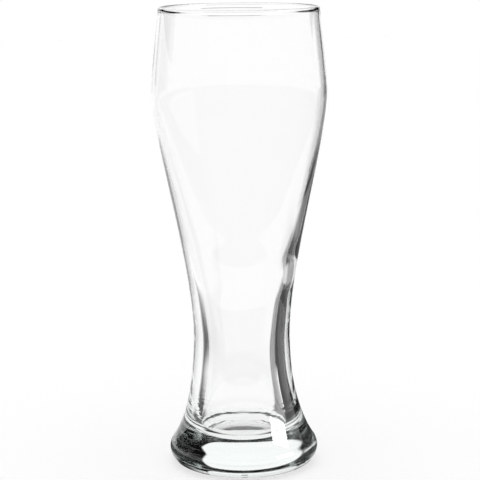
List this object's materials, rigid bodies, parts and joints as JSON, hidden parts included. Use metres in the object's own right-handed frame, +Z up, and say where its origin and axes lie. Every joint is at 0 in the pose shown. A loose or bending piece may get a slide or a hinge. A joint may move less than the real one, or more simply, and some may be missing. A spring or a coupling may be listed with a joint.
{
  "type": "weizen glass",
  "caption": "Tall wheat-beer glass of clear glass: wide bowl with a rounded lip, narrow waist, flared solid foot.",
  "frame": {"origin": "centre of the plane that the foot stands on, on the axis of the glass", "axes": "+Z up along the axis of the glass, from the foot to the mouth; +X and +Y are any two level directions, as the glass is round"},
  "size_m": [0.0814, 0.0814, 0.216],
  "materials": {
    "clear_glass": "clear, flame-polished soda-lime glass"
  },
  "bodies": {
    "root": {"glass": "clear_glass"}
  },
  "joints": []
}
